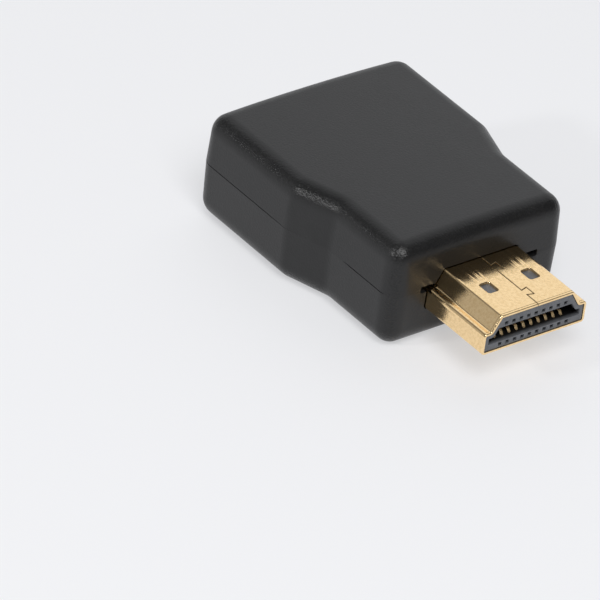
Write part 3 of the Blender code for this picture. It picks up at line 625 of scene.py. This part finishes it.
def housing_half(up):
    """Half of the housing as a loft of plan outlines from the spine of its outer floor to its inner floor.

    Outside, the edge is a quarter round: inset = draft + R (1 - cos a), reach = depth - R (1 - sin a).
    A drafted wall runs to the parting bevel, whose opening follows seam_openness, and a ring just short
    of each end holds the wall flat. Inside, the same outlines moved in by the wall give the lip, the
    inner wall and its rounded foot, without the ribs and bosses that stand on it. The floor's first
    ring shrinks on straight lines to a spine. The top sinks by crown (y / w) squared, and the corners of
    the socket end stand back by bow (y / w) to the fourth, which fades along X.
    """
    depth = TOP - PARTING if up else PARTING - BOTTOM
    radius = TOP_EDGE_RADIUS if up else BOTTOM_EDGE_RADIUS
    half_gap = PARTING_GAP / 2
    inner = WALL + SIDE_DRAFT
    cosine, sine = quarter(90, 0)
    inset = [*(SIDE_DRAFT + radius * (1 - cosine)), WALL_STEP_DRAFT, BEVEL_STEP_INSET, 0, PARTING_BEVEL]
    reach = [*(depth - radius * (1 - sine)), depth - radius - WALL_STEP,
             half_gap + BEVEL_STEP * PARTING_BEVEL, half_gap + PARTING_BEVEL, half_gap]
    seam_rings = [len(inset) - 2, len(inset) - 1]
    crowned = len(inset) - 3
    if up:
        roof = LIP_HEIGHT + LIP_CLEARANCE
        inset += [WALL / 2, WALL / 2, inner + LIP_CLEARANCE]
        reach += [half_gap, roof, roof]
    else:
        lip = WALL / 2 + LIP_CLEARANCE
        inset += [lip, lip, inner]
        reach += [half_gap, -LIP_HEIGHT, -LIP_HEIGHT]
    cosine, sine = quarter(0, 90, SMALL_ARC_STEPS)
    floor = depth - WALL
    last = inset[-1]
    inset += [*(last + INNER_RADIUS * (1 - cosine))]
    reach += [*(floor - INNER_RADIUS * (1 - sine))]
    outlines = rounded_outline(plan_corners(), inset)
    side = 1 if up else -1
    heights = np.repeat(np.array(reach)[:, None], outlines.shape[1], 1)
    heights[seam_rings] *= seam_openness(outlines[seam_rings, :, 0], outlines[seam_rings, :, 1])
    grid = across_z(outlines, np.zeros(len(inset)))
    grid[..., 2] = PARTING + side * heights
    spine = grid[0] * (1, 0, 1)
    spine[:, 0] = np.clip(spine[:, 0], SOCKET_END + SPINE_INSET, PLUG_END - SPINE_INSET)
    share = np.linspace(1, 0, CROWN_STEPS, endpoint=False)[:, None, None]
    grid = np.concatenate([grid[0] + (spine - grid[0]) * share, grid])
    across = grid[..., 1] / WIDE_HALF
    if up:
        grid[:CROWN_STEPS + crowned, :, 2] -= CROWN * across[:CROWN_STEPS + crowned] ** 2
    grid[..., 0] += BOW * across ** 4 * np.clip(1 - (grid[..., 0] - SOCKET_END) / BOW_LENGTH, 0, 1)
    return skin(grid, first_cap=False)


def d_corners(corner_radius):
    """Corners of the plug's D in Y and Z, anticlockwise."""
    low, high = PLUG_LOW[2], PLUG_HIGH[2]
    shelf = low + PLUG_SIDE_HEIGHT
    foot = PLUG_HALF_WIDTH - PLUG_SHELF
    right = [(PLUG_HALF_WIDTH, low, corner_radius), (PLUG_HALF_WIDTH, shelf, corner_radius),
             (foot, shelf, HOLLOW_RADIUS), (foot - PLUG_SLANT, high, corner_radius)]
    return right + [(-y, z, radius) for y, z, radius in reversed(right)]


def d_loft(x, inset, corner_radius, closed=False):
    """Loft of the D along X, moved in by an inset at each station."""
    outlines = rounded_outline(d_corners(corner_radius), inset, SMALL_ARC_STEPS)
    return skin(across_x(outlines, x), along=closed)


def rectangle(low, high, radius):
    """Corners of a rounded rectangle, anticlockwise from its lowest corner to its highest and back."""
    return [(low[0], low[1], radius), (high[0], low[1], radius), (high[0], high[1], radius),
            (low[0], high[1], radius)]


def flared(corners, face, depth, edge, beyond, arc_steps=SMALL_ARC_STEPS):
    """Cutter through a wall whose edge at the face is rounded.

    inset = -edge (1 - cos a) and x = face - edge (1 - sin a). depth runs into the wall and beyond out of
    it; both are along X and carry their own sign.
    """
    outwards = np.sign(beyond)
    cosine, sine = quarter(0, 90, EDGE_STEPS)
    x = [face + depth, face - outwards * edge, *(face - outwards * edge * (1 - sine)), face + beyond]
    inset = [0, 0, *(-edge * (1 - cosine)), -edge]
    return skin(across_x(rounded_outline(corners, inset, arc_steps), x))


def end_openings():
    """Cutters for the bezel's window and the plug's opening with its shoulder notches."""
    half_width = BEZEL_HALF_WIDTH + BEZEL_GAP
    window = rectangle((-half_width, BEZEL_WINDOW_LOW - BEZEL_GAP),
                       (half_width, BEZEL_WINDOW_HIGH + BEZEL_GAP), BEZEL_CORNER_RADIUS)
    cosine, sine = quarter(0, 90, EDGE_STEPS)
    x = [PLUG_END - 2 * WALL, PLUG_END - OPENING_EDGE, *(PLUG_END - OPENING_EDGE * (1 - sine)),
         PLUG_END + OVERSHOOT]
    inset = -PLUG_OPENING_GAP - np.array([0, 0, *(OPENING_EDGE * (1 - cosine)), OPENING_EDGE])
    opening = d_loft(x, inset, PLUG_CORNER_RADIUS)
    shoulder = AXIS_HEIGHT + PLUG_SIDE_HEIGHT - PLUG_HALF_HEIGHT
    notches = []
    for side in (-1, 1):
        middle = side * PLUG_HALF_WIDTH
        corners = rectangle((middle - NOTCH_HALF_WIDTH, shoulder - NOTCH_HALF_HEIGHT),
                            (middle + NOTCH_HALF_WIDTH, shoulder + NOTCH_HALF_HEIGHT), NOTCH_CORNER_RADIUS)
        notches.append(flared(corners, PLUG_END, -WALL / 2, NOTCH_EDGE, OVERSHOOT))
    return [flared(window, SOCKET_END, 2 * WALL, OPENING_EDGE, -OVERSHOOT), opening, *notches]


def mark_rounding(piece):
    """Attribute that is 1 on rounded edges and 0 on flats.

    It is (flat - m) / fall, held between 0 and 1, with m the largest part of each corner's normal.
    """
    normals = np.zeros(3 * len(piece.data.loops), np.float32)
    piece.data.corner_normals.foreach_get("vector", normals)
    largest = abs(normals.reshape(-1, 3)).max(1)
    layer = piece.data.attributes.new(ROUNDING, "FLOAT", "CORNER")
    share = np.clip((FLAT_NORMAL - largest) / ROUNDING_FALL, 0, 1)
    layer.data.foreach_set("value", share.astype(np.float32))


def build_housing(material):
    """Both halves of the housing, cut by the openings in the end walls."""
    for up, name, node in ((True, "housing_upper", "upper_shell"), (False, "housing_lower", "lower_shell")):
        piece = add_object(name, housing_half(up))
        carve(piece, "DIFFERENCE", end_openings())
        mark_rounding(finish_piece(piece, material, [node]))


# Plug

def band(path, widths):
    """Closed outlines of a strip along an open path, one for each width, with mitred bends."""
    path = np.asarray(path, float)
    way = np.diff(path, axis=0)
    way /= np.linalg.norm(way, axis=1, keepdims=True)
    before = np.concatenate([way[:1], way])
    after = np.concatenate([way, way[-1:]])
    normal = np.stack([-(before + after)[:, 1], (before + after)[:, 0]], 1)
    normal /= np.linalg.norm(normal, axis=1, keepdims=True)
    normal /= (normal * np.stack([-after[:, 1], after[:, 0]], 1)).sum(1)[:, None]
    reach = np.asarray(widths, float)[:, None, None] / 2
    return np.concatenate([path + normal * reach, (path - normal * reach)[:, ::-1]], 1)


def seam_path():
    """Butt seam of the plug's sheet seen from above, with its dovetail tabs on the +Y side."""
    path = [(RIM + OVERSHOOT, 0)]
    for setback in SEAM_TAB_SETBACKS:
        near, far = setback - SEAM_TAB_LENGTH / 2, setback + SEAM_TAB_LENGTH / 2
        path += [(RIM - near - SEAM_TAB_UNDERCUT, 0), (RIM - near, SEAM_TAB_REACH),
                 (RIM - far, SEAM_TAB_REACH), (RIM - far + SEAM_TAB_UNDERCUT, 0)]
    return path + [(PLUG_LOW[0] - OVERSHOOT, 0)]


def build_plug_shell(material):
    """D tube of sheet with a coined rim: a fine groove behind a rounded lip, then a rounded inner edge."""
    r = RIM_RADIUS
    cosine, sine = quarter(90, 0, SMALL_ARC_STEPS)
    inner_cosine, inner_sine = quarter(0, 90, SMALL_ARC_STEPS)
    inner_radius = RIM_INNER_RADIUS
    groove = RIM - RIM_GROOVE_SETBACK + RIM_GROOVE_WIDTH * np.array([-0.5, -0.2, 0.2, 0.5])
    x = [PLUG_LOW[0], *groove,
         *(RIM - r * (1 - cosine)), *(RIM - inner_radius * (1 - inner_cosine)), PLUG_LOW[0]]
    inset = [0, 0, RIM_GROOVE_DEPTH, RIM_GROOVE_DEPTH, 0,
             *(r * (1 - sine)), *(PLUG_SHEET - inner_radius * (1 - inner_sine)), PLUG_SHEET]
    shell = add_object("plug_sheet", d_loft(x, inset, PLUG_CORNER_RADIUS, closed=True))
    cosine, sine = quarter(0, 90, EDGE_STEPS)
    depths = np.array([-2 * PLUG_SHEET, -HOLE_EDGE, *(-HOLE_EDGE * (1 - sine)), OVERSHOOT])
    spread = np.array([0, 0, *(-HOLE_EDGE * (1 - cosine)), -HOLE_EDGE])
    holes = []
    for y in (-LATCH_HOLE_SPACING / 2, LATCH_HOLE_SPACING / 2):
        x, half_length, half_width = RIM - LATCH_HOLE_SETBACK, LATCH_HOLE_LENGTH / 2, LATCH_HOLE_WIDTH / 2
        corners = rectangle((x - half_length, y - half_width), (x + half_length, y + half_width),
                            LATCH_HOLE_RADIUS)
        outlines = rounded_outline(corners, spread, SMALL_ARC_STEPS)
        holes.append(skin(across_z(outlines, PLUG_HIGH[2] + depths)))
    heights = np.array([-2 * PLUG_SHEET, -SEAM_EDGE, 0, OVERSHOOT])
    widths = [SEAM_WIDTH, SEAM_WIDTH, SEAM_WIDTH + 2 * SEAM_EDGE, SEAM_WIDTH + 2 * SEAM_EDGE]
    seam = skin(across_z(band(seam_path(), widths), PLUG_HIGH[2] + heights))
    carve(shell, "DIFFERENCE", holes + [seam])
    finish_piece(shell, material, ["plug_shell"])


def moulded_copy(name, node, bevel, material):
    """A packed block with its facets merged and its edges softened by a small bevel."""
    piece = bpy.data.objects.new(name, frame["nodes"][node].data.copy())
    bpy.context.scene.collection.objects.link(piece)
    form = bmesh.new()
    form.from_mesh(piece.data)
    bmesh.ops.remove_doubles(form, verts=form.verts, dist=FACET_MERGE_DISTANCE * MM)
    bmesh.ops.dissolve_limit(form, angle_limit=FACET_ANGLE, verts=form.verts, edges=form.edges)
    form.to_mesh(piece.data)
    form.free()
    edges = piece.modifiers.new("edges", "BEVEL")
    edges.width = bevel * MM
    edges.segments = 2
    edges.limit_method = "ANGLE"
    edges.angle_limit = BEVEL_ANGLE
    keep_modified(piece)
    return finish_piece(piece, material, [node])


# Contacts

def rounded_path(points, radius, steps=SMALL_ARC_STEPS):
    """Open path whose inner corners are arcs of the radius, given as (along, up) points."""
    points = np.asarray(points, float)
    before = points[1:-1] - points[:-2]
    after = points[2:] - points[1:-1]
    longest = np.minimum(np.linalg.norm(before, axis=1), np.linalg.norm(after, axis=1)) * ARC_ROOM
    before /= np.linalg.norm(before, axis=1, keepdims=True)
    after /= np.linalg.norm(after, axis=1, keepdims=True)
    turn = np.arctan2(before[:, 0] * after[:, 1] - before[:, 1] * after[:, 0], (before * after).sum(1))
    arc = np.minimum(radius, longest / np.tan(abs(turn) / 2))
    start = points[1:-1] - before * (arc * np.tan(abs(turn) / 2))[:, None]
    inward = np.stack([-before[:, 1], before[:, 0]], 1) * np.sign(turn)[:, None]
    centre = start + inward * arc[:, None]
    arm = (start - centre)[:, None]
    angle = turn[:, None] * np.linspace(0, 1, steps + 1)
    arcs = centre[:, None] + np.stack([arm[..., 0] * np.cos(angle) - arm[..., 1] * np.sin(angle),
                                       arm[..., 0] * np.sin(angle) + arm[..., 1] * np.cos(angle)], -1)
    return np.concatenate([points[:1], arcs.reshape(-1, 2), points[-1:]])


def strips(path, places):
    """Contacts of one row: a rounded rectangle carried along a path in X and Z, once for each place in Y.

    The section is (width / 2 - e) (cos, sin) corners turned by e, set out across the path's own normal.
    """
    corners = rectangle((-CONTACT_WIDTH / 2, -CONTACT_SHEET / 2), (CONTACT_WIDTH / 2, CONTACT_SHEET / 2),
                        CONTACT_EDGE)
    section = rounded_outline(corners, 0, CONTACT_EDGE_STEPS)[0]
    way = np.gradient(path, axis=0)
    way /= np.linalg.norm(way, axis=1, keepdims=True)
    normal = np.stack([-way[:, 1], way[:, 0]], 1)
    x = path[:, None, 0] + normal[:, None, 0] * section[None, :, 1]
    z = path[:, None, 1] + normal[:, None, 1] * section[None, :, 1]
    y = np.broadcast_to(section[None, :, 0], x.shape)
    return joined([skin(np.stack([x, y + place, z], -1)) for place in places])


def row_places(count):
    """Y of each contact in a row that is centred on the connector."""
    return (np.arange(count) - (count - 1) / 2) * PITCH


def build_contacts(material):
    """Springs of the plug, which arch into its slot, and flat strips in the grooves of the tongue."""
    tip = RIM - CHANNEL_WEB - CONTACT_SHEET
    arch = RIM - ARCH_SETBACK
    plug_tail = PLUG_BLOCK_LOW[0] - CHANNEL_CLEARANCE
    spring = [(tip, ROW_HEIGHT), (tip - TIP_RUN, (ROW_HEIGHT + ARCH_HEIGHT) / 2), (arch, ARCH_HEIGHT),
              (RIM - BEAM_END_SETBACK, ROW_HEIGHT), (plug_tail, ROW_HEIGHT),
              (plug_tail - TAIL_BEND, TAIL_HEIGHT), (BOARD_HIGH[0] - TAIL_LENGTH, TAIL_HEIGHT)]
    flat_height = TONGUE_HALF_HEIGHT - GROOVE_DEPTH + GROOVE_FLOOR_GAP + CONTACT_SHEET / 2
    bend = SOCKET_BLOCK_HIGH[0] + CHANNEL_CLEARANCE
    flat = [(SOCKET_BLOCK_LOW[0] + SOCKET_CONTACT_SETBACK, flat_height), (bend, flat_height),
            (bend + TAIL_BEND, TAIL_HEIGHT), (BOARD_LOW[0] + TAIL_LENGTH, TAIL_HEIGHT)]
    for end, points in (("plug", spring), ("socket", flat)):
        for row, side, count in (("wide", -1, WIDE_ROW_COUNT), ("narrow", 1, NARROW_ROW_COUNT)):
            path = rounded_path(points, CONTACT_BEND)
            path[:, 1] = ROW_PLANE + side * path[:, 1]
            piece = add_object(f"{end}_contacts_{row}", strips(path, row_places(count)))
            replaced = [f"{end}_contact_{row}_{i + 1}" for i in range(count)]
            finish_piece(piece, material, replaced)


# Socket end

def build_bezel(material):
    """Insert plate with rounded edges, cut by the flared mouth and by a shallow recess round it."""
    cosine, sine = quarter(90, 0, SMALL_ARC_STEPS)
    corners = rectangle((-BEZEL_HALF_WIDTH, BEZEL_WINDOW_LOW), (BEZEL_HALF_WIDTH, BEZEL_WINDOW_HIGH),
                        BEZEL_CORNER_RADIUS)
    x = BEZEL_LOW[0] + np.array([0, *(BEZEL_EDGE * (1 - sine)), BEZEL_THICKNESS])
    inset = [BEZEL_FACE_INSET, *(BEZEL_EDGE * (1 - cosine)), 0]
    plate = add_object("bezel_plate", skin(across_x(rounded_outline(corners, inset, SMALL_ARC_STEPS), x)))
    sleeve = SLEEVE_OUTER - RIM_GAP
    mouth = sleeve - MOUTH_FLARE
    face = BEZEL_LOW[0]
    x = [face - OVERSHOOT, face + MOUTH_EDGE, face + MOUTH_FLARE_LENGTH, face + BEZEL_THICKNESS + OVERSHOOT]
    bore = d_loft(x, [mouth, mouth, sleeve, sleeve], SOCKET_CORNER_RADIUS)
    cosine, sine = quarter(90, 0, RECESS_STEPS)
    floor = face + RECESS_DEPTH
    rim = mouth - RECESS_WIDTH
    x = [face - OVERSHOOT, face, floor - RECESS_EDGE, *(floor - RECESS_EDGE * (1 - sine[::-1]))]
    inset = [rim - RECESS_EDGE, rim - RECESS_EDGE, rim, *(rim + RECESS_EDGE * (1 - cosine[::-1]))]
    recess = d_loft(x, inset, SOCKET_CORNER_RADIUS)
    carve(plate, "DIFFERENCE", [bore, recess])
    finish_piece(plate, material, ["socket_bezel"])


def build_socket_shell(material):
    """Sleeve with a flared, rolled mouth and two spring fingers in each broad wall."""
    face = SLEEVE_LOW[0]
    inner, outer = -MATING_CLEARANCE, SLEEVE_OUTER
    roll = SLEEVE_SHEET / 2
    cosine, sine = quarter(90, -90, 2 * SMALL_ARC_STEPS)
    flare_foot = face + MOUTH_FLARE_LENGTH
    x = [SLEEVE_HIGH_X, flare_foot + FLARE_BEND, flare_foot - FLARE_BEND, *(face + roll * (1 - cosine)),
         flare_foot - FLARE_BEND, flare_foot + FLARE_BEND, SLEEVE_HIGH_X]
    flare_end = outer - MOUTH_FLARE
    slope = MOUTH_FLARE * FLARE_BEND / (MOUTH_FLARE_LENGTH - roll)
    inset = [outer, outer, outer - slope, *(flare_end + roll - roll * sine), inner - slope, inner, inner]
    sleeve = add_object("socket_sleeve", d_loft(x, inset, SOCKET_CORNER_RADIUS, closed=True))
    middle = PLUG_HALF_HEIGHT - (inner + outer) / 2
    window_start = SOCKET_END + SPRING_WINDOW_START
    window_end = window_start + SPRING_WINDOW_LENGTH
    points = [(window_end + SPRING_ROOT, middle), (window_end - SPRING_ROOT, middle),
              (window_start + SPRING_CREST_SETBACK, middle - SPRING_REACH),
              (window_start + SPRING_SIDE_GAP, middle - SPRING_REACH / 2)]
    half = SPRING_WIDTH / 2
    windows, springs = [], []
    for side in (-1, 1):
        path = rounded_path(points, SPRING_BEND)
        outline = band(path, [SPRING_SHEET])[0]
        outline[:, 1] = AXIS_HEIGHT + side * outline[:, 1]
        low, high = sorted((AXIS_HEIGHT + side * (middle - SLEEVE_SHEET),
                            AXIS_HEIGHT + side * (middle + SLEEVE_SHEET)))
        for y in (-SPRING_SPACING / 2, SPRING_SPACING / 2):
            wide = half + SPRING_SIDE_GAP
            plan = np.array([rectangle((window_start, y - wide), (window_end, y + wide), 0)] * 2, float)
            windows.append(skin(across_z(plan[..., :2], [low, high])))
            rings = np.stack([outline[:, 0], np.full(len(outline), y), outline[:, 1]], -1)
            springs.append(skin(np.stack([rings - (0, half, 0), rings + (0, half, 0)])))
    carve(sleeve, "DIFFERENCE", windows)
    carve(sleeve, "UNION", springs)
    finish_piece(sleeve, material, ["socket_shell"])


# Floor, light and camera

def build_floor():
    """Pale plain floor just under the housing, its shadows lightened for the camera and for gloss."""
    floor = bpy.data.objects.new("floor", bpy.data.meshes.new("floor"))
    reach = FLOOR_REACH
    corners = [(-reach, -reach, 0), (reach, -reach, 0), (reach, reach, 0), (-reach, reach, 0)]
    floor.data.from_pydata(corners, [], [(0, 1, 2, 3)])
    bpy.context.scene.collection.objects.link(floor)
    s = Shader("pale_floor")
    s.put(FLOOR_COLOUR, s.surface.inputs["Base Color"])
    s.put(FLOOR_ROUGHNESS, s.surface.inputs["Roughness"])
    ray = s.node("ShaderNodeLightPath").outputs
    mirrored = s.math("MAXIMUM", ray["Is Glossy Ray"], ray["Is Transmission Ray"])
    seen = s.math("MAXIMUM", ray["Is Camera Ray"], mirrored)
    glow = s.node("ShaderNodeEmission", {"Color": FLOOR_COLOUR, "Strength": 1.0})
    mix = s.node("ShaderNodeMixShader", {0: s.math("MULTIPLY", seen, FLOOR_GLOW), 1: s.surface.outputs[0],
                                         2: glow.outputs[0]})
    s.put(mix.outputs[0], s.tree.nodes["Material Output"].inputs["Surface"])
    floor.data.materials.append(s.material)
    floor.location.z = -FLOOR_DROP


def build_world():
    """Dim room with two bright walls.

    The strength is the room's, plus each wall's own times s(d), with d the cosine to the middle of that
    wall and s a smooth step between its two cosines.
    """
    world = bpy.data.worlds.new("studio")
    world.use_nodes = True
    tree = world.node_tree
    background = tree.nodes["Background"]
    background.inputs["Color"].default_value = ROOM_COLOUR
    place = tree.nodes.new("ShaderNodeTexCoord")
    total = None
    for direction, dark_cosine, bright_cosine, strength in WALLS:
        dot = tree.nodes.new("ShaderNodeVectorMath")
        dot.operation = "DOT_PRODUCT"
        dot.inputs[1].default_value = Vector(direction).normalized()
        tree.links.new(place.outputs["Generated"], dot.inputs[0])
        step = tree.nodes.new("ShaderNodeMapRange")
        step.interpolation_type = "SMOOTHSTEP"
        for key, value in (("From Min", dark_cosine), ("From Max", bright_cosine), ("To Max", strength)):
            step.inputs[key].default_value = value
        tree.links.new(dot.outputs["Value"], step.inputs["Value"])
        add = tree.nodes.new("ShaderNodeMath")
        add.inputs[0].default_value = ROOM_STRENGTH
        if total:
            tree.links.new(total, add.inputs[0])
        tree.links.new(step.outputs[0], add.inputs[1])
        total = add.outputs[0]
    tree.links.new(total, background.inputs["Strength"])
    bpy.context.scene.world = world


def build_lamps():
    """Soft panels, each facing the frame's origin from its own direction and distance."""
    for name, direction, distance, size, power in LAMPS:
        light = bpy.data.lights.new(name, "AREA")
        light.shape = "RECTANGLE"
        light.size, light.size_y = size
        light.energy = power
        lamp = bpy.data.objects.new(name, light)
        way = Vector(direction).normalized()
        lamp.location = way * distance
        lamp.rotation_euler = way.to_track_quat("Z", "Y").to_euler()
        bpy.context.scene.collection.objects.link(lamp)


def build_camera():
    """Camera at the photograph's angle; its place and turn come from a fit of the body's edges."""
    data = bpy.data.cameras.new("camera")
    data.lens = LENS
    data.sensor_width = SENSOR_WIDTH
    data.clip_start, data.clip_end = 0.01, 10
    camera = bpy.data.objects.new("camera", data)
    camera.location = Vector(CAMERA_PLACE) * MM
    camera.rotation_euler = np.radians(CAMERA_TURN)
    bpy.context.scene.collection.objects.link(camera)
    bpy.context.scene.camera = camera


def main():
    """The finishes, then the pieces that wear them, then what they are seen in."""
    plastic = eroded_plastic()
    insert = bezel_plastic()
    plate = gold("gold_plate", roughness=0.12, ripple=0.01)
    mouth = SLEEVE_LOW[0]
    # The sleeve's gold, darkened by painted shade into its depth
    sleeve_gold = gold("sleeve_gold", roughness=0.14, ripple=0.01,
                       painted_shade=(mouth + SLEEVE_PAINTED_SHADE[0], mouth + SLEEVE_PAINTED_SHADE[1]))
    contact_gold = gold("contact_gold", roughness=0.3, ripple=0.002, metallic=0.6)
    front = PLUG_BLOCK_HIGH[0]
    # Insulators, darkened by painted shade inside their slots
    grey_resin = moulded_resin("grey_resin", GREY_DARK, GREY_PALE,
                               (front - GREY_PAINTED_SHADE[0], front - GREY_PAINTED_SHADE[1]),
                               PLUG_BLOCK_HIGH[2] - SKIN_DEPTH)
    front = SOCKET_BLOCK_LOW[0]
    black_resin = moulded_resin("black_resin", BLACK_DARK, BLACK_PALE,
                                (front + BLACK_PAINTED_SHADE[0], front + BLACK_PAINTED_SHADE[1]),
                                SOCKET_BLOCK_HIGH[2] - SKIN_DEPTH)
    build_housing(plastic)
    build_bezel(insert)
    build_plug_shell(plate)
    build_socket_shell(sleeve_gold)
    moulded_copy("plug_block", "plug_insulator", BLOCK_EDGE, grey_resin)
    moulded_copy("socket_block", "socket_insulator", BLOCK_EDGE, black_resin)
    build_contacts(contact_gold)
    board, epoxy = board_laminate(), array_epoxy()
    frame["nodes"]["circuit_board"].data.materials.clear()
    frame["nodes"]["circuit_board"].data.materials.append(board)
    for index in range(ARRAY_COUNT):
        moulded_copy(f"array_{index + 1}", f"surge_array_{index + 1}", ARRAY_EDGE, epoxy)
    build_floor()
    build_world()
    build_lamps()
    build_camera()
    bpy.context.scene.view_settings.view_transform = "Standard"


main()
